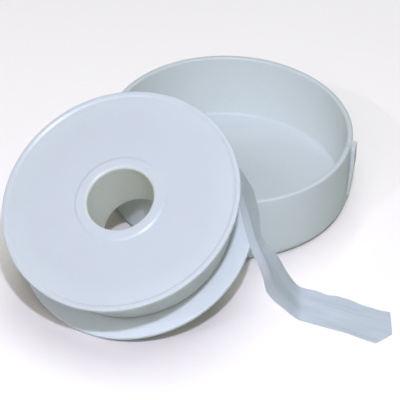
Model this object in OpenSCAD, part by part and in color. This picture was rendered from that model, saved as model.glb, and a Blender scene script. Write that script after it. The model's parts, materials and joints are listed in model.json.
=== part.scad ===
// Thread seal tape roll. A white two-part spool of film tape leans on the rim of its own
// cover, which has been taken off and stands open side up. The loose end of the tape leaves
// the winding, drops over the flanges and runs out flat on the table.
// Origin at the centre of the cover's base, on the table, +Z up, millimetres.

/* [Cover] */
// Outside diameter of the cover
cover_d = 53.5; // [52:0.5:58]
// Height of the cover, base to rim
cover_h = 16.2; // [15.6:0.2:19]
// Thickness of the round wall
cover_wall = 1.2; // [1:0.1:1.6]
// Thickness of the floor
cover_floor = 0.7; // [0.6:0.1:1.4]
// Radius of the outer base edge
cover_base_r = 2; // [1:0.1:3]
// Radius of the corner between floor and wall, inside
cover_corner_r = 0.7; // [0.5:0.1:1.5]
// Narrowing of the inside from the rim down to the floor, each side
cover_draft = 0.25; // [0.1:0.05:0.4]
// Radius on both edges of the rim
rim_edge_r = 0.4; // [0.2:0.05:0.5]

/* [Tape slot in the cover] */
// Azimuth of the lip's free end, degrees
lip_tip_angle = -14.5; // [-30:0.5:10]
// Length of the lip round the wall, degrees
lip_span = 6.5; // [5:0.5:10]
// Part of that length that joins the lip to the wall, degrees
lip_root_span = 1.5; // [1:0.25:2.5]
// Length of the step behind the lip, where that root runs on to the wall, degrees
lip_step_span = 0.5; // [0.25:0.25:1]
// Width of the slot through the wall, degrees
slot_span = 3.5; // [2.5:0.25:4.5]
// Distance of the slot from that root, degrees
slot_from_root = 0.25; // [0.15:0.05:0.5]
// Thickness of the lip
lip_t = 0.75; // [0.5:0.05:1]
// Gap between the lip and the wall at the rim, where the tape comes out
slot_gap = 0.35; // [0.25:0.05:0.6]
// The same gap at the foot of the slot
slot_low_gap = 0.15; // [0.1:0.05:0.25]
// Height of the lip's upright part, down from the rim
lip_upright_h = 5.2; // [3:0.2:8]
// Height of the lip's foot, which closes on to the wall under the slot
lip_foot_h = 1; // [0.6:0.1:1.2]
// Room for the tape's edge at the foot of the slot
slot_foot_gap = 0.2; // [0.1:0.1:1]

/* [Spool] */
// Diameter of the flanges
flange_d = 50; // [48:0.5:50.5]
// Thickness of a flange between its hub and its bead
flange_t = 0.75; // [0.6:0.05:1.2]
// Width of the bead round a flange's edge
bead_w = 0.8; // [0.6:0.1:2]
// Height of the bead, and of the ring round the bore, over the flange's outer face
bead_h = 0.25; // [0.1:0.05:0.4]
// Width of the slope from the flange's outer face up to the bead, and up to the ring
bead_slope_w = 0.5; // [0.3:0.05:0.7]
// Radius on the edges of a flange
flange_edge_r = 0.3; // [0.15:0.05:0.35]
// Diameter of the bore
bore_d = 14; // [12:0.5:14.5]
// Radius of the bore's mouth
bore_mouth_r = 0.6; // [0.3:0.1:1]
// Diameter of the raised ring round the bore
ring_d = 19.2; // [18:0.2:20]
// Outside diameter of the hub that the tape is wound on
hub_d = 19; // [18.4:0.2:22]
// Thickness of the inner tube, which belongs to the lower half
tube_t = 1.2; // [1:0.1:1.4]
// Thickness of the lip that covers the tube's end in the upper half
tube_lip_t = 1.6; // [1.2:0.1:2.5]

/* [Snap joint of the spool] */
// Height of the snap bead on the inner tube
snap_h = 0.25; // [0.1:0.05:0.35]
// Length of the snap bead along the tube
snap_w = 1.2; // [0.8:0.1:2]
// Distance of the snap bead from the tube's end
snap_from_end = 2; // [1.5:0.1:4]
// Clearance between the tube and the sleeve round it
sleeve_gap = 0.05; // [0.03:0.01:0.1]
// Clearance at the ends of the tube and the sleeve
butt_gap = 0.1; // [0.05:0.05:0.2]

/* [Tape] */
// Width of the tape
tape_w = 12; // [10:0.5:12]
// Thickness of the film
tape_t = 0.1; // [0.08:0.01:0.12]
// Length of tape on the full spool
tape_len = 10000; // [6000:500:12000]
// Room between the tape's edges and the flanges, each side
tape_side_gap = 0.2; // [0.15:0.05:0.4]
// Clearance of the innermost turn on the hub
hub_gap = 0.05; // [0.03:0.01:0.1]
// Clearance of the outer turn over the wound turns
turn_gap = 0.15; // [0.1:0.05:0.3]

/* [Loose end of the tape] */
// Direction on the winding where the tape leaves it, degrees from the foot of the lean
leave_angle = 179; // [170:1:185]
// How much of a turn the loose outer layer covers, degrees
turn_sweep = 345; // [300:1:346]
// Straight run of the tape after it leaves the winding
tail_straight = 12; // [10:0.5:13]
// How far the loose end reaches over the table from there
tail_reach = 39; // [34:1:44]
// Azimuth of that reach, degrees
tail_heading = -21; // [-30:1:-12]
// Width of the drawn end, which the pull has narrowed
tail_end_w = 10; // [8:0.5:12]
// Length of the clipped corner at the end
tail_nip = 3.5; // [1:0.5:5]

/* [Lean] */
// Tilt of the spool's axis from upright, degrees
lean_tilt = 27.25; // [22:0.25:32]
// Azimuth of the spool from the cover, degrees
lean_dir = 238.5; // [230:0.5:246]
// Clearance between the spool and the rim that it leans on
seat_gap = 0.3; // [0.2:0.05:0.5]

/* [Hidden] */
$fn = 128;
arc_steps = 5;
cover_white = [0.86, 0.90, 0.92];
spool_white = [0.85, 0.88, 0.94];
tape_white = [0.93, 0.94, 0.96];

// Cover
cover_r = cover_d / 2;
cover_in_r = cover_r - cover_wall;
corner_mid_r = cover_in_r - cover_draft - cover_corner_r;
slot_foot_z = cover_h - tape_w - slot_foot_gap;
lip_inner_r = cover_r - lip_t / 2;
lip_low_r = cover_r + slot_low_gap + lip_t / 2;
lip_out_r = cover_r + slot_gap + lip_t;
lip_root_angle = lip_tip_angle + lip_span - lip_root_span;
slot_from_angle = lip_root_angle - slot_from_root - slot_span;
root_inner_r = cover_r - lip_t / 3;
root_low_r = cover_r + slot_low_gap + lip_t / 4;
root_out_r = cover_r + slot_gap + lip_t / 2;
lip_low_z = slot_foot_z - slot_foot_gap;
lip_foot_z = lip_low_z - lip_foot_h;
lip_upright_z = cover_h - lip_upright_h;
lip_top_z = cover_h - rim_edge_r / 2;
root_foot_z = lip_low_z - lip_foot_h / 2;
root_top_z = lip_top_z - rim_edge_r / 4;

// Spool, along its own axis from the lower face
flange_r = flange_d / 2;
bore_r = bore_d / 2;
ring_r = ring_d / 2;
hub_r = hub_d / 2;
tube_r = bore_r + tube_t;
sleeve_r = tube_r + sleeve_gap;
side_t = flange_t + bead_h;
spool_h = tape_w + 2 * (tape_side_gap + side_t);
tube_end_z = spool_h - tube_lip_t - butt_gap;
snap_z = tube_end_z - snap_from_end;
sleeve_end_depth = spool_h - side_t - butt_gap;

// Winding: the length of film and its thickness fill the ring from the hub outwards
winding_r = sqrt(pow(hub_r, 2) + tape_len * tape_t / PI);

// Lean: the foot of the lower flange stands on the table, the flange lies over the rim
foot_z = (flange_r - flange_edge_r) * sin(lean_tilt) + flange_edge_r * (1 - cos(lean_tilt));
rim_reach = (cover_r - rim_edge_r) * sin(lean_tilt) + (cover_h - rim_edge_r) * cos(lean_tilt) + rim_edge_r;
foot_s = (rim_reach + seat_gap - bead_h - foot_z * cos(lean_tilt)) / sin(lean_tilt);
spool_at = [foot_s * cos(lean_dir), foot_s * sin(lean_dir), foot_z];
spool_axis = [sin(lean_tilt) * cos(lean_dir), sin(lean_tilt) * sin(lean_dir), cos(lean_tilt)];

// Route of the loose end after its straight run. Each row has a share of the reach along
// the heading, a share of the reach to its left, and a share of the height left to fall.
tail_route_shares = [
    [0.105, -0.075, 0.945],
    [0.205, -0.2, 0.78],
    [0.275, -0.285, 0.615],
    [0.345, -0.305, 0.465],
    [0.385, -0.28, 0.305],
    [0.45, -0.23, 0.12],
    [0.51, -0.205, 0.015],
    [0.595, -0.19, 0],
    [0.7, -0.19, 0],
    [0.8, -0.19, 0],
    [0.91, -0.205, 0],
    [1, -0.195, 0]
];
// How steeply the near edge stands up along that route, degrees
tail_tips = [45, 38, 28, 8, -8, -8, -1, 0, 0, 0, 0, 0];
// How far the near edge is turned forward along that route, degrees
tail_turns = [-5, -6, 5, 11, 8, 17, 17, 7, 0, 0, 0, 0];
// Depth of the lengthwise fold along that route, as shares of the width
tail_fold_shares = [0.02, 0.05, 0.08, 0.09, 0.07, 0.04, 0.02, 0.01, 0, 0, 0, 0];
// Where the fold lies, from the middle towards the near edge, as a share of the width
fold_place_share = 0.17;
// How much of the narrowing each point of the route adds
neck_share = 0.2;
// Height of the film's middle over the table
lay_z = tape_t;
turn_steps = 60;
route_steps = 3;

function arc(cx, cy, r, from, to) = [
    for (i = [0 : arc_steps])
        let (a = from + (to - from) * i / arc_steps)
        [cx + r * cos(a), cy + r * sin(a)]
];

function unit(v) = v / norm(v);

// A point of the spool's own frame, placed in the lean
function lean(p) =
    let (
        out = p.x * cos(lean_tilt) + p.z * sin(lean_tilt),
        up = p.z * cos(lean_tilt) - p.x * sin(lean_tilt)
    )
    spool_at + [
        out * cos(lean_dir) - p.y * sin(lean_dir),
        out * sin(lean_dir) + p.y * cos(lean_dir),
        up
    ];

// Smooth curve through the points of a list, with the same slope on both sides of each
function curve_at(p, i, t) =
    let (
        b = p[i],
        c = p[i + 1],
        a = i > 0 ? p[i - 1] : 2 * b - c,
        d = i + 2 < len(p) ? p[i + 2] : 2 * c - b
    )
    b + (c - a) * t / 2 + (2 * a - 5 * b + 4 * c - d) * pow(t, 2) / 2
    + (3 * b - a - 3 * c + d) * pow(t, 3) / 2;

function curve(p) = [
    for (i = [0 : len(p) - 2])
        for (j = [1 : route_steps])
            curve_at(p, i, j / route_steps)
];

module leaned() {
    translate(spool_at) rotate([0, lean_tilt, lean_dir]) children();
}

// Cover

module cover_shell() {
    rotate_extrude()
        polygon(concat(
            [[0, 0]],
            arc(cover_r - cover_base_r, cover_base_r, cover_base_r, -90, 0),
            arc(cover_r - rim_edge_r, cover_h - rim_edge_r, rim_edge_r, 0, 90),
            arc(cover_in_r + rim_edge_r, cover_h - rim_edge_r, rim_edge_r, 90, 180),
            arc(corner_mid_r, cover_floor + cover_corner_r, cover_corner_r, 0, -90),
            [[0, cover_floor]]
        ));
}

module sector(from, span) {
    rotate([0, 0, from]) rotate_extrude(angle = span) children();
}

// The lip is drawn in to the wall at its foot and upright at the rim. It stands off the wall,
// and only its foot and its root join it.
module lip_profile() {
    polygon([
        [lip_inner_r, lip_foot_z],
        [lip_low_r, lip_low_z],
        [lip_out_r, lip_upright_z],
        [lip_out_r, lip_top_z],
        [cover_r + slot_gap, lip_top_z],
        [cover_r + slot_gap, lip_upright_z],
        [cover_r + slot_low_gap, lip_low_z],
        [lip_inner_r, lip_low_z]
    ]);
}

module lip_root_profile() {
    polygon([
        [root_inner_r, root_foot_z],
        [root_low_r, lip_low_z],
        [root_out_r, lip_upright_z],
        [root_out_r, root_top_z],
        [root_inner_r, root_top_z]
    ]);
}

module cover() {
    color(cover_white) {
        difference() {
            cover_shell();
            sector(slot_from_angle, slot_span)
                translate([cover_in_r - cover_wall, slot_foot_z])
                square([3 * cover_wall, cover_h]);
        }
        sector(lip_tip_angle, lip_span) lip_profile();
        sector(lip_root_angle, lip_root_span + lip_step_span) lip_root_profile();
    }
}

// Spool

// Outer face and edge of a flange, from the bore's mouth to the inner face, with height
// measured inwards from the bead
function flange_outline() = concat(
    arc(bore_r + bore_mouth_r, bore_mouth_r, bore_mouth_r, 180, 270),
    [
        [ring_r - bead_slope_w, 0],
        [ring_r, bead_h],
        [flange_r - bead_w - bead_slope_w, bead_h],
        [flange_r - bead_w, 0]
    ],
    arc(flange_r - flange_edge_r, flange_edge_r, flange_edge_r, 270, 360),
    arc(flange_r - flange_edge_r, side_t - flange_edge_r, flange_edge_r, 0, 90)
);

module spool_lower_half() {
    color(spool_white) leaned() rotate_extrude()
        polygon(concat(
            flange_outline(),
            [
                [tube_r, side_t],
                [tube_r, snap_z - snap_w / 2],
                [tube_r + snap_h, snap_z],
                [tube_r, snap_z + snap_w / 2],
                [tube_r, tube_end_z],
                [bore_r, tube_end_z]
            ]
        ));
}

module spool_upper_half() {
    snap_depth = spool_h - snap_z;
    color(spool_white) leaned() translate([0, 0, spool_h]) mirror([0, 0, 1]) rotate_extrude()
        polygon(concat(
            flange_outline(),
            [
                [hub_r, side_t],
                [hub_r, sleeve_end_depth],
                [sleeve_r, sleeve_end_depth],
                [sleeve_r, snap_depth + snap_w / 2],
                [sleeve_r + snap_h, snap_depth],
                [sleeve_r, snap_depth - snap_w / 2],
                [sleeve_r, tube_lip_t],
                [bore_r, tube_lip_t]
            ]
        ));
}

// Tape

module tape_winding() {
    color(tape_white) leaned() rotate_extrude()
        translate([hub_r + hub_gap, side_t + tape_side_gap])
        square([winding_r - hub_r - hub_gap, tape_w]);
}

// The loose outer layer winds clockwise seen from above and grows by one film a turn
turn_points = [
    for (i = [0 : turn_steps])
        let (
            a = leave_angle + turn_sweep * (1 - i / turn_steps),
            r = winding_r + turn_gap + tape_t / 2 + tape_t * i / turn_steps
        )
        [r * cos(a), r * sin(a), spool_h / 2]
];
leave_way = [sin(leave_angle), -cos(leave_angle), 0];
leave_point = turn_points[turn_steps];
straight_points = [for (i = [0 : 2]) lean(leave_point + leave_way * tail_straight * i / 2)];
drop_point = straight_points[2];
heading = [cos(tail_heading), sin(tail_heading), 0];
leftward = [-sin(tail_heading), cos(tail_heading), 0];
route_points = [
    for (s = tail_route_shares)
        [drop_point.x, drop_point.y, lay_z + s.z * (drop_point.z - lay_z)]
        + tail_reach * (s.x * heading + s.y * leftward)
];
last = len(route_points) - 1;
route_sides = [
    for (i = [0 : last])
        [0, 0, sin(tail_tips[i])]
        + cos(tail_tips[i]) * (sin(tail_turns[i]) * heading - cos(tail_turns[i]) * leftward)
];

// The whole strip: middle line, direction to the near edge, width and depth of the fold
strip_line = concat([for (p = turn_points) lean(p)], curve(concat(straight_points, route_points)));
strip_sides = concat(
    [for (p = turn_points) spool_axis],
    curve(concat([for (p = straight_points) spool_axis], route_sides))
);
strip_widths = concat(
    [for (p = turn_points) tape_w],
    curve(concat(
        [for (p = straight_points) tape_w],
        [for (i = [0 : last]) tape_w + (tail_end_w - tape_w) * min(1, neck_share * (i + 1))]
    ))
);
strip_folds = concat(
    [for (p = turn_points) 0],
    curve(concat([for (p = straight_points) 0], tail_fold_shares * tail_end_w))
);
strip_end = len(strip_line) - 1;

// One cross-section of the strip: near edge, fold and far edge, above and below
function strip_ring(i) =
    let (
        way = unit(strip_line[min(i + 1, strip_end)] - strip_line[max(i - 1, 0)]),
        side = unit(strip_sides[i] - way * (strip_sides[i] * way)),
        face = cross(side, way),
        film = face * tape_t / 2,
        nip = i == strip_end ? way * tail_nip : [0, 0, 0],
        near = strip_line[i] + side * strip_widths[i] / 2 - nip,
        fold = strip_line[i] + side * strip_widths[i] * fold_place_share + face * strip_folds[i],
        far = strip_line[i] - side * strip_widths[i] / 2
    )
    [near + film, fold + film, far + film, far - film, fold - film, near - film];

ring_size = 6;
strip_rings = [for (i = [0 : strip_end]) strip_ring(i)];
strip_points = [for (r = strip_rings) for (p = r) p];
strip_faces = concat(
    [[0, 5, 4], [0, 4, 1], [1, 4, 3], [1, 3, 2]],
    [
        for (i = [0 : strip_end - 1])
            for (j = [0 : ring_size - 1])
                let (
                    a = i * ring_size + j,
                    b = i * ring_size + (j + 1) % ring_size
                )
                each [[a, b, b + ring_size], [a, b + ring_size, a + ring_size]]
    ],
    [for (f = [[0, 4, 5], [0, 1, 4], [1, 3, 4], [1, 2, 3]]) [for (k = f) k + strip_end * ring_size]]
);

module tape_tail() {
    color(tape_white) polyhedron(points = strip_points, faces = strip_faces, convexity = 8);
}

// Least gap of the strip to itself, between stretches more than a quarter turn apart
function segment_gap(p, a, b) =
    let (t = max(0, min(1, (p - a) * (b - a) / pow(norm(b - a), 2))))
    norm(p - a - t * (b - a));
apart = turn_steps / 4;
least_gap = min([
    for (i = [0 : strip_end - apart])
        for (j = [i + apart : strip_end - 1])
            segment_gap(strip_line[i], strip_line[j], strip_line[j + 1])
]) - tape_t;
echo(least_gap_of_the_strip_to_itself = least_gap);

cover();
spool_upper_half();
spool_lower_half();
tape_winding();
tape_tail();
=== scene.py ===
"""Looks of a thread seal tape roll: a spool of film tape that leans on its open cover, with the
loose end run out on the table. Metres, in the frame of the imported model."""

import json
import math
import random

import bpy
from mathutils import Matrix, Vector, noise


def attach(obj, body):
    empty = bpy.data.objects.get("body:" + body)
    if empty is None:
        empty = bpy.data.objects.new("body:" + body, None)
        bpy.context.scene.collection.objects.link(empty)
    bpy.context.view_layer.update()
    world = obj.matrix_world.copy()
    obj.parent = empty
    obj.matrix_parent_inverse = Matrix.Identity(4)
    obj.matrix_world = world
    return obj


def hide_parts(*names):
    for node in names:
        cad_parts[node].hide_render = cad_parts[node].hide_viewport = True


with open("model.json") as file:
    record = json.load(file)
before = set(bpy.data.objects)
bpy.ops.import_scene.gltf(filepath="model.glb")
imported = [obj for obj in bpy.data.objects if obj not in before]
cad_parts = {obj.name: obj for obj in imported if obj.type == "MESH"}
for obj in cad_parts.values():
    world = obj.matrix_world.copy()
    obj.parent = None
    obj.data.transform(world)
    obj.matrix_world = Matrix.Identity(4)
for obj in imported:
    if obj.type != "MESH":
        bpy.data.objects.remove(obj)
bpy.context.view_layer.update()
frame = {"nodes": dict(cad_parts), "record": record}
nodes = frame["nodes"]

MM = 0.001
random.seed(12)

# Camera, as the photo was taken
CAMERA_AT = Vector((-5.99, -375.15, 297.37)) * MM
CAMERA_ELEVATION = math.radians(38.854)
CAMERA_ROLL = math.radians(2.042)
CAMERA_LENS = 193.73
CAMERA_SENSOR = 36.0

# Loose tape, along the same route as the solid
FILM = 0.1 * MM
TURN_GAP = 0.15 * MM
LEAVE_ANGLE = math.radians(179)
TURN_SWEEP = math.radians(345)
TAIL_STRAIGHT = 12 * MM
TAIL_REACH = 39 * MM
TAIL_HEADING = math.radians(-21)
TAIL_END_W = 10 * MM
TAIL_NIP = 3.6 * MM
TAIL_SKEW = 0.26
CLIP_LENGTH = 9 * MM
LAY_Z = FILM

# Route points: ahead and to the left as shares of the reach, and height as a share of the drop
ROUTE_SHARES = [
    (0.105, -0.075, 0.945),
    (0.205, -0.2, 0.78),
    (0.275, -0.285, 0.615),
    (0.345, -0.305, 0.465),
    (0.385, -0.28, 0.305),
    (0.45, -0.23, 0.12),
    (0.51, -0.205, 0.015),
    (0.595, -0.19, 0),
    (0.7, -0.19, 0),
    (0.8, -0.19, 0),
    (0.91, -0.205, 0),
    (1, -0.195, 0),
]
# At each route point: tip and turn in degrees, fold depth as a share of the drawn width, and the
# near edge's shift in mm
ROUTE_TIPS = [45, 38, 28, 8, -8, -8, -1, 0, 0, 0, 0, 0]
ROUTE_TURNS = [-5, -6, 5, 11, 8, 17, 17, 7, 0, 0, 0, 0]
FOLD_SHARES = [0.02, 0.07, 0.12, 0.13, 0.11, 0.06, 0.03, 0.01, 0, 0, 0, 0]
NEAR_SHIFTS = [0, 0, -0.3, -0.2, 0, 0, 0.3, 0.5, 0.5, 0.5, 0.1, 0.5]
NECK_SHARE = 0.2

# Places across the strip run from -0.5 at the far edge to 0.5 at the near edge
FOLD_PLACE = 0.33
DIP_PLACE = -0.2
DIP_SHARE = 0.35
NIP_PLACE = 0.17

# Far edge: inset over the last stretch, dips as distance to the end, depth and half length, and
# the gather at the spool between route places counted from the first
FAR_INSET = 0.25 * MM
FAR_FROM = 20 * MM
FAR_EASE = 8 * MM
FAR_DIPS = [(14.5 * MM, 0.5 * MM, 2.4 * MM), (7.2 * MM, 0.4 * MM, 2.6 * MM)]
GATHER = 3 * MM
GATHER_IN = (-0.8, 0.5)
GATHER_OUT = (0.9, 1.4)

# Creases along the film
CREASE_LENGTH = 11 * MM
CREASE_WIDTH = 1.9 * MM
BIG_CREASE = 0.34 * MM
SMALL_CREASE = 0.12 * MM

# Wound tape: width of a band of turns and how far it stands back, in mm
BAND_WIDTHS = (0.12, 0.32)
BAND_BACK = 0.14

# Painted light near the spool's axis: tones of a material that stand in for light, and the radii
# between which they give way
# Bore walls: painted bounce light, lighter and warmer than the rest of the spool
BORE_PAINTED_BOUNCE_TONES = (0.94, 0.93, 0.8), (0.97, 0.96, 0.83)
BORE_BLEND = (7.05 * MM, 7.5 * MM)
# Outer turn on the roll: painted bounce light and greenish painted shade in the gap between the
# flanges, lighter than the free tape
WOUND_PAINTED_BOUNCE_TONES = (0.79, 0.805, 0.76), (0.84, 0.855, 0.81)
WOUND_BLEND = (20.6 * MM, 22 * MM)

# Floor
FLOOR_REACH = 1.5
PALE_DEPTH = 0.02 * MM
DIM_DEPTH = 0.1 * MM

# Fineness of the meshes
TURN_RINGS = 172
ROUTE_STEPS = 12
STRIP_COLUMNS = 33
ROLL_SECTORS = 160


# Spool's own frame, from the bore

bore = next(m for m in frame["record"]["mounts"] if m["name"] == "spool_bore")
spool_mid = Vector(bore["pos_m"])
spool_axis = Vector(bore["axis"]).normalized()
side_way = Vector((0, 0, 1)).cross(spool_axis).normalized()
foot_way = side_way.cross(spool_axis)


def lean(x, y, h):
    """A point of the spool's frame: towards its foot, across, and along the bore from the middle."""
    return spool_mid + foot_way * x + side_way * y + spool_axis * h


def ring_of(node):
    """Inner radius, outer radius, and lowest and highest place along the bore, of a spool part."""
    radii, heights = [], []
    for v in nodes[node].data.vertices:
        p = v.co - spool_mid
        h = p.dot(spool_axis)
        heights.append(h)
        radii.append((p - spool_axis * h).length)
    return min(radii), max(radii), min(heights), max(heights)


roll_in, roll_out, roll_low, roll_high = ring_of("tape_winding")
TAPE_W = roll_high - roll_low


# Mesh helpers


def new_piece(name, verts, faces, uvs=None, sharp_angle=40):
    """A smooth mesh object with sharp edges where its faces turn by more than sharp_angle."""
    mesh = bpy.data.meshes.new(name)
    mesh.from_pydata([tuple(v) for v in verts], [], faces)
    if uvs:
        layer = mesh.uv_layers.new(name="UVMap")
        for loop in mesh.loops:
            layer.data[loop.index].uv = uvs[loop.vertex_index]
    mesh.validate()
    mesh.update()
    mesh.polygons.foreach_set("use_smooth", [True] * len(mesh.polygons))
    mesh.set_sharp_from_angle(angle=math.radians(sharp_angle))
    obj = bpy.data.objects.new(name, mesh)
    bpy.context.scene.collection.objects.link(obj)
    return obj


def smooth(t):
    """Eases from 0 to 1."""
    t = min(1.0, max(0.0, t))
    return t * t * (3 - 2 * t)


def curve_at(p, i, t):
    """Smooth curve through a list's points, with the same slope on both sides of each."""
    b, c = p[i], p[i + 1]
    a = p[i - 1] if i > 0 else b * 2 - c
    d = p[i + 2] if i + 2 < len(p) else c * 2 - b
    return (
        b
        + (c - a) * (t / 2)
        + (a * 2 - b * 5 + c * 4 - d) * (t * t / 2)
        + (b * 3 - a - c * 3 + d) * (t * t * t / 2)
    )


def curve(p):
    return [
        curve_at(p, i, j / ROUTE_STEPS)
        for i in range(len(p) - 1)
        for j in range(1, ROUTE_STEPS + 1)
    ]


# Loose outer turn and tail of the tape


def strip_stations():
    """All along: middle line, way to the near edge, width, fold depth and near edge's shift."""
    line, sides, widths, folds, shifts = [], [], [], [], []
    for i in range(TURN_RINGS + 1):
        t = i / TURN_RINGS
        a = LEAVE_ANGLE + TURN_SWEEP * (1 - t)
        r = roll_out + TURN_GAP + FILM / 2 + FILM * t
        line.append(lean(r * math.cos(a), r * math.sin(a), 0))
        sides.append(spool_axis.copy())
        widths.append(TAPE_W)
        folds.append(0.0)
        shifts.append(0.0)
    way = foot_way * math.sin(LEAVE_ANGLE) - side_way * math.cos(LEAVE_ANGLE)
    straight = [line[-1] + way * (TAIL_STRAIGHT * i / 2) for i in range(3)]
    drop = straight[2]
    heading = Vector((math.cos(TAIL_HEADING), math.sin(TAIL_HEADING), 0))
    leftward = Vector((-heading.y, heading.x, 0))
    route, route_sides = [], []
    for (ahead, left, high), tip, turn in zip(ROUTE_SHARES, ROUTE_TIPS, ROUTE_TURNS):
        at = Vector((drop.x, drop.y, LAY_Z + high * (drop.z - LAY_Z)))
        route.append(at + (heading * ahead + leftward * left) * TAIL_REACH)
        tip, turn = math.radians(tip), math.radians(turn)
        flat = heading * math.sin(turn) - leftward * math.cos(turn)
        route_sides.append(flat * math.cos(tip) + Vector((0, 0, math.sin(tip))))
    necks = [
        TAPE_W + (TAIL_END_W - TAPE_W) * min(1, NECK_SHARE * (i + 1))
        for i in range(len(route))
    ]
    line += curve(straight + route)
    sides += curve([spool_axis] * 3 + route_sides)
    widths += curve([TAPE_W] * 3 + necks)
    folds += curve([0.0] * 3 + [f * TAIL_END_W for f in FOLD_SHARES])
    shifts += curve([0.0] * 3 + [f * MM for f in NEAR_SHIFTS])
    return line, sides, widths, folds, shifts


def fold_shape(s):
    """Height of the lengthwise fold across the strip, s from -0.5 at the far edge to 0.5."""
    if s > FOLD_PLACE:
        return (0.5 - s) / (0.5 - FOLD_PLACE)
    if s > DIP_PLACE:
        return 1 - (1 + DIP_SHARE) * smooth((FOLD_PLACE - s) / (FOLD_PLACE - DIP_PLACE))
    return -DIP_SHARE * (s + 0.5) / (DIP_PLACE + 0.5)


def far_inset(to_go):
    """How far the far edge keeps in, with two shallow dips near the drawn end."""
    keep = FAR_INSET * smooth(1 - (to_go - FAR_FROM) / FAR_EASE)
    return keep + sum(deep * smooth(1 - abs(to_go - at) / half) for at, deep, half in FAR_DIPS)


def gather(place):
    """How far the far edge is drawn in where the strip leaves the spool."""
    start, full = GATHER_IN
    leave, end = GATHER_OUT
    drawn_in = smooth((place - start) / (full - start))
    return GATHER * drawn_in * (1 - smooth((place - leave) / (end - leave)))


def wrinkle(along, s, width, share):
    """Soft lengthwise creases, which grow towards the drawn end."""
    long_way = along / CREASE_LENGTH
    across = s * width / CREASE_WIDTH
    big = noise.noise(Vector((long_way, across * 0.6, 3.1)))
    small = noise.noise(Vector((long_way * 2.4, across * 1.7, 8.7)))
    return (BIG_CREASE * max(0.0, big) + SMALL_CREASE * max(0.0, small)) * share


def tape_strip():
    """The outer turn and the loose end, as one strip of film."""
    line, sides, widths, folds, shifts = strip_stations()
    last = len(line) - 1
    along = [0.0]
    for i in range(last):
        along.append(along[-1] + (line[i + 1] - line[i]).length)
    total = along[-1]
    leave = along[TURN_RINGS]
    grid = []
    for i in range(last + 1):
        way = (line[min(i + 1, last)] - line[max(i - 1, 0)]).normalized()
        side = (sides[i] - way * sides[i].dot(way)).normalized()
        face = side.cross(way)
        drawn = smooth((along[i] - leave - TAIL_STRAIGHT) / (total - leave - TAIL_STRAIGHT))
        to_end = smooth(1 - (total - along[i]) / CLIP_LENGTH)
        inset = far_inset(total - along[i]) + gather((i - TURN_RINGS) / ROUTE_STEPS - 2)
        row = []
        for j in range(STRIP_COLUMNS):
            s = j / (STRIP_COLUMNS - 1) - 0.5
            across = s * widths[i]
            across += 2 * (max(0.0, s) * shifts[i] + max(0.0, -s) * inset)
            p = line[i] + side * across
            p += face * folds[i] * fold_shape(s)
            p += face * wrinkle(along[i], s, widths[i], drawn)
            nip = TAIL_NIP * max(0.0, (s - NIP_PLACE) / (0.5 - NIP_PLACE))
            p += way * (to_end * (TAIL_SKEW * (s + 0.5) * widths[i] - nip))
            row.append(p)
        grid.append(row)
    return film_solid("tape_strip", grid, along)


def film_solid(name, grid, along):
    """A closed film round a grid of points, with its length and width in the UV map."""
    rows, columns = len(grid), len(grid[0])
    top, bottom, uvs = [], [], []
    for i in range(rows):
        for j in range(columns):
            down = grid[min(i + 1, rows - 1)][j] - grid[max(i - 1, 0)][j]
            over = grid[i][min(j + 1, columns - 1)] - grid[i][max(j - 1, 0)]
            normal = over.cross(down).normalized()
            top.append(grid[i][j] + normal * (FILM / 2))
            bottom.append(grid[i][j] - normal * (FILM / 2))
            uvs.append((j / (columns - 1), along[i] / TAPE_W))
    under = rows * columns
    faces = []
    for i in range(rows - 1):
        for j in range(columns - 1):
            a = i * columns + j
            b = a + columns
            faces.append((a, a + 1, b + 1, b))
            faces.append((under + b, under + b + 1, under + a + 1, under + a))
    border = list(range(columns))
    border += [i * columns + columns - 1 for i in range(1, rows)]
    border += [(rows - 1) * columns + j for j in range(columns - 2, -1, -1)]
    border += [i * columns for i in range(rows - 2, 0, -1)]
    for a, b in zip(border, border[1:] + border[:1]):
        faces.append((b, a, under + a, under + b))
    return new_piece(name, top + bottom, faces, uvs + uvs)


# Wound tape on the hub


def tape_roll():
    """The wound turns as one ring, whose flat sides show the edges of the turns."""
    middle = (roll_low + roll_high) / 2
    half = TAPE_W / 2
    bands = []
    r = roll_in
    while r < roll_out - 0.05 * MM:
        wide = random.uniform(*BAND_WIDTHS) * MM
        back = random.uniform(0.0, BAND_BACK) * MM
        bands.append((r, min(r + wide, roll_out), back, random.uniform(0, 9)))
        r += wide
    profile = []
    for low_r, high_r, back, seed in bands:
        profile.append((low_r, 1, back, seed))
        profile.append((high_r, 1, back, seed))
    profile += [(p[0], -1, p[2], p[3] + 20) for p in reversed(profile)]
    verts, faces, uvs = [], [], []
    count = len(profile)
    for k in range(ROLL_SECTORS):
        a = 2 * math.pi * k / ROLL_SECTORS
        for j, (r, sign, back, seed) in enumerate(profile):
            drift = 0.5 + 0.5 * noise.noise(Vector((math.cos(a) * 1.5, math.sin(a) * 1.5, seed)))
            h = middle + sign * (half - back * drift)
            verts.append(lean(r * math.cos(a), r * math.sin(a), h))
            uvs.append((j / count, a))
        for j in range(count):
            b = k * count + j
            c = k * count + (j + 1) % count
            step = count if k < ROLL_SECTORS - 1 else -k * count
            faces.append((b, c, c + step, b + step))
    return new_piece("tape_roll", verts, faces, uvs)


# Materials


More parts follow.
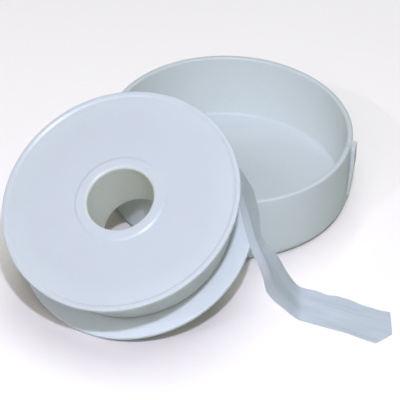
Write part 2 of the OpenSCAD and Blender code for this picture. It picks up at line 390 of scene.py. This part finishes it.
class Shader:
    """One procedural material, with short calls to add its nodes."""

    def __init__(self, name):
        self.material = bpy.data.materials.new(name)
        self.material.use_nodes = True
        self.tree = self.material.node_tree
        self.skin = self.tree.nodes["Principled BSDF"]

    def node(self, kind, **values):
        made = self.tree.nodes.new(kind)
        for key, value in values.items():
            setattr(made, key, value)
        return made

    def link(self, source, target):
        self.tree.links.new(source, target)

    def places(self, kind="Object", scale=(1, 1, 1)):
        """Coordinates of the surface, stretched by scale."""
        coords = self.node("ShaderNodeTexCoord")
        mapping = self.node("ShaderNodeMapping")
        mapping.inputs["Scale"].default_value = scale
        self.link(coords.outputs[kind], mapping.inputs["Vector"])
        return mapping.outputs["Vector"]

    def noise(self, places, scale, detail=4, rough=0.55):
        made = self.node("ShaderNodeTexNoise")
        made.inputs["Scale"].default_value = scale
        made.inputs["Detail"].default_value = detail
        made.inputs["Roughness"].default_value = rough
        self.link(places, made.inputs["Vector"])
        return made.outputs["Fac"]

    def ramp(self, source, stops):
        """Colours between stops, each a place and a colour or a grey."""
        made = self.node("ShaderNodeValToRGB")
        points = made.color_ramp.elements
        while len(points) < len(stops):
            points.new(0.5)
        for point, (at, colour) in zip(points, stops):
            point.position = at
            point.color = (*colour, 1) if isinstance(colour, tuple) else (colour,) * 3 + (1,)
        self.link(source, made.inputs["Fac"])
        return made.outputs["Color"]

    def from_bore(self, inner, outer):
        """0 within inner of the spool's axis, 1 beyond outer."""
        apart = self.node("ShaderNodeVectorMath", operation="SUBTRACT")
        apart.inputs[1].default_value = spool_mid
        across = self.node("ShaderNodeVectorMath", operation="CROSS_PRODUCT")
        across.inputs[1].default_value = spool_axis
        far = self.node("ShaderNodeVectorMath", operation="LENGTH")
        share = self.node("ShaderNodeMapRange")
        share.inputs["From Min"].default_value = inner
        share.inputs["From Max"].default_value = outer
        self.link(self.places(), apart.inputs[0])
        self.link(apart.outputs["Vector"], across.inputs[0])
        self.link(across.outputs["Vector"], far.inputs[0])
        self.link(far.outputs["Value"], share.inputs["Value"])
        return share.outputs["Result"]

    def blend(self, share, first, second):
        """Colours from first at 0 to second at 1."""
        made = self.node("ShaderNodeMix", data_type="RGBA")
        self.link(share, made.inputs["Factor"])
        colours = [i for i in made.inputs if i.type == "RGBA"]
        self.link(first, colours[0])
        self.link(second, colours[1])
        return next(o for o in made.outputs if o.type == "RGBA")

    def bump(self, height, distance, strength=1.0, under=None):
        made = self.node("ShaderNodeBump")
        made.inputs["Distance"].default_value = distance
        made.inputs["Strength"].default_value = strength
        self.link(height, made.inputs["Height"])
        if under:
            self.link(under, made.inputs["Normal"])
        return made.outputs["Normal"]

    def set(self, **values):
        for key, value in values.items():
            self.skin.inputs[key.replace("_", " ")].default_value = value


def moulded_plastic(name, dull, clear, rough_low, rough_high, milky, depth, painted_bore_bounce=None):
    """Satin moulded plastic: cloudy tone, fine mould grain and a few dull patches; if given, a
    lighter, warmer tone on the bore walls as painted bounce light.
    """
    s = Shader(name)
    places = s.places()
    cloud = s.noise(places, 55, 3)
    tone = s.ramp(cloud, [(0.3, dull), (0.7, clear)])
    # Painted bounce light: a lighter, warmer tone on the bore walls, near the spool's axis
    if painted_bore_bounce:
        painted_bore_bounce_tone = s.ramp(cloud, [(0.3, painted_bore_bounce[0]), (0.7, painted_bore_bounce[1])])
        tone = s.blend(s.from_bore(*BORE_BLEND), painted_bore_bounce_tone, tone)
    s.link(tone, s.skin.inputs["Base Color"])
    patches = s.noise(places, 90, 2, 0.5)
    s.link(s.ramp(patches, [(0.3, rough_low), (0.75, rough_high)]), s.skin.inputs["Roughness"])
    grain = s.bump(s.noise(places, 2600, 3), 0.004 * MM)
    s.link(grain, s.skin.inputs["Normal"])
    s.set(IOR=1.49, Subsurface_Weight=milky, Subsurface_Radius=(1, 1, 0.9), Subsurface_Scale=depth)
    return s.material


def film_material(name, dull, clear, painted_gap_tones):
    """Soft drawn film: silky streaks along its length and faint stretch marks across.
    On the roll it is whiter and greener than where it hangs free: painted bounce light and greenish
    painted shade in the gap between the flanges."""
    s = Shader(name)
    streaks = s.noise(s.places("UV", (22, 1.1, 1)), 1, 4, 0.55)
    marks = s.noise(s.places("UV", (2.2, 14, 1)), 1, 3)
    free = s.ramp(streaks, [(0.3, dull), (0.68, clear)])
    # Painted bounce light and greenish painted shade on the outer turn in the flange gap
    wound = s.ramp(streaks, [(0.3, painted_gap_tones[0]), (0.68, painted_gap_tones[1])])
    tone = s.blend(s.from_bore(*WOUND_BLEND), wound, free)
    s.link(tone, s.skin.inputs["Base Color"])
    s.link(s.ramp(marks, [(0.3, 0.42), (0.75, 0.6)]), s.skin.inputs["Roughness"])
    lines = s.bump(streaks, 0.03 * MM)
    s.link(s.bump(marks, 0.03 * MM, 0.7, lines), s.skin.inputs["Normal"])
    s.set(IOR=1.36, Sheen_Weight=0.15, Sheen_Roughness=0.4)
    s.set(Subsurface_Weight=0.3, Subsurface_Radius=(1, 1, 1), Subsurface_Scale=0.3 * MM)
    return s.material


def roll_material(name, dull, clear):
    """Wound film: a cloudy tone, patchy roughness and a fine bumpy grain."""
    s = Shader(name)
    places = s.places()
    cloud = s.noise(places, 240, 4)
    s.link(s.ramp(cloud, [(0.3, dull), (0.7, clear)]), s.skin.inputs["Base Color"])
    s.link(s.ramp(s.noise(places, 900, 3), [(0.3, 0.5), (0.7, 0.68)]), s.skin.inputs["Roughness"])
    s.link(s.bump(s.noise(places, 1500, 4), 0.02 * MM), s.skin.inputs["Normal"])
    s.set(IOR=1.36)
    return s.material


def floor_material(name, dull, clear):
    s = Shader(name)
    cloud = s.noise(s.places(), 6, 2)
    s.link(s.ramp(cloud, [(0.3, dull), (0.7, clear)]), s.skin.inputs["Base Color"])
    s.set(Roughness=0.7, Specular_IOR_Level=0.2)
    return s.material


def dress(node, material):
    mesh = nodes[node].data
    mesh.materials.clear()
    mesh.materials.append(material)


cover_plastic = moulded_plastic(
    "cover_plastic", (0.81, 0.83, 0.785), (0.84, 0.86, 0.815), 0.36, 0.4, 0.35, 1.5 * MM
)
# Both spool halves carry the painted bounce light on the bore walls
SPOOL_FINISH = (0.33, 0.37, 0.45, 1.2 * MM, BORE_PAINTED_BOUNCE_TONES)
spool_plastic = moulded_plastic(
    "spool_plastic", (0.78, 0.785, 0.76), (0.81, 0.815, 0.79), *SPOOL_FINISH
)
tube_plastic = moulded_plastic(
    "tube_plastic", (0.83, 0.85, 0.83), (0.86, 0.88, 0.86), *SPOOL_FINISH
)
tape_film = film_material("tape_film", (0.68, 0.7, 0.705), (0.73, 0.75, 0.755), WOUND_PAINTED_BOUNCE_TONES)
wound_film = roll_material("wound_film", (0.9, 0.88, 0.83), (0.94, 0.92, 0.87))

dress("cover", cover_plastic)
dress("spool_upper_half", spool_plastic)
dress("spool_lower_half", tube_plastic)


# Pieces

strip = tape_strip()
strip.data.materials.append(tape_film)
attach(strip, "tape_end")
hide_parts("tape_tail")
strip.visible_shadow = False  # thin film lets most of the light through

roll = tape_roll()
roll.data.materials.append(wound_film)
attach(roll, "spool")
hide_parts("tape_winding")


# Floor, light and camera


def add_plane(name, depth, material):
    far = FLOOR_REACH
    corners = [(-far, -far), (far, -far), (far, far), (-far, far)]
    plane = new_piece(name, [(x, y, -depth) for x, y in corners], [(0, 1, 2, 3)])
    plane.data.materials.append(material)
    return plane


def add_floor():
    """A pale floor for the camera over a dimmer one, which bounces light on the object.
    Returns a collection of the pale floor alone, for the light that only it receives."""
    pale_look = floor_material("pale_floor", (0.94, 0.83, 0.76), (0.96, 0.85, 0.78))
    pale = add_plane("floor", PALE_DEPTH, pale_look)
    pale.visible_diffuse = False
    pale.visible_glossy = False
    pale.visible_shadow = False
    dim_look = floor_material("dim_floor", (0.61, 0.625, 0.56), (0.65, 0.665, 0.6))
    dim = add_plane("bounce_floor", DIM_DEPTH, dim_look)
    dim.visible_camera = False
    only = bpy.data.collections.new("floor_only")
    only.objects.link(pale)
    return only


def add_light(name, azimuth, elevation, distance, size, power, colour):
    """A soft square light that faces the spool from that side."""
    a, e = math.radians(azimuth), math.radians(elevation)
    way = Vector((math.cos(e) * math.cos(a), math.cos(e) * math.sin(a), math.sin(e)))
    data = bpy.data.lights.new(name, "AREA")
    data.energy = power
    data.size = size
    data.color = colour
    light = bpy.data.objects.new(name, data)
    facing = way.to_track_quat("Z", "Y").to_matrix().to_4x4()
    light.matrix_world = Matrix.Translation(spool_mid + way * distance) @ facing
    bpy.context.scene.collection.objects.link(light)
    return light


def add_sky(tone):
    """A plain soft dome, black under the horizon."""
    world = bpy.data.worlds.new("studio")
    world.use_nodes = True
    tree = world.node_tree
    coords = tree.nodes.new("ShaderNodeTexCoord")
    split = tree.nodes.new("ShaderNodeSeparateXYZ")
    height = tree.nodes.new("ShaderNodeMapRange")
    height.inputs["From Min"].default_value = -0.1
    height.inputs["From Max"].default_value = 0.1
    mix = tree.nodes.new("ShaderNodeMix")
    mix.data_type = "RGBA"
    mix.inputs["A"].default_value = (0, 0, 0, 1)
    mix.inputs["B"].default_value = (*tone, 1)
    tree.links.new(coords.outputs["Generated"], split.inputs["Vector"])
    tree.links.new(split.outputs["Z"], height.inputs["Value"])
    tree.links.new(height.outputs["Result"], mix.inputs["Factor"])
    tree.links.new(mix.outputs["Result"], tree.nodes["Background"].inputs["Color"])
    bpy.context.scene.world = world


def add_camera():
    e, roll_angle = CAMERA_ELEVATION, CAMERA_ROLL
    ahead = Vector((0, math.cos(e), -math.sin(e)))
    level = Vector((1, 0, 0))
    up = Vector((0, math.sin(e), math.cos(e)))
    right = level * math.cos(roll_angle) + up * math.sin(roll_angle)
    top = up * math.cos(roll_angle) - level * math.sin(roll_angle)
    data = bpy.data.cameras.new("photo_camera")
    data.lens = CAMERA_LENS
    data.sensor_width = CAMERA_SENSOR
    data.clip_start = 0.01
    camera = bpy.data.objects.new("photo_camera", data)
    axes = Matrix((right, top, -ahead)).transposed().to_4x4()
    camera.matrix_world = Matrix.Translation(CAMERA_AT) @ axes
    bpy.context.scene.collection.objects.link(camera)
    bpy.context.scene.camera = camera


floor_only = add_floor()
add_sky((0.17, 0.19, 0.15))
# Azimuth and elevation in degrees, distance, size, power and colour
add_light("main", 277, 55.5, 0.4, 0.016, 1.04, (0.68, 0.75, 1.0))
add_light("window", 224, 39.5, 1.6, 0.03, 2.6, (0.68, 0.76, 1.0))
add_light("left", 254, 45, 0.5, 0.2, 0.38, (0.84, 0.8, 1.0))
add_light("back", 80, 60, 0.8, 0.35, 0.52, (0.82, 0.95, 1.0))
floor_light = add_light("floor_light", 60, 80, 0.9, 0.8, 4.7, (0.81, 0.915, 1.0))
floor_light.light_linking.receiver_collection = floor_only
add_camera()
bpy.context.scene.view_settings.view_transform = "Standard"
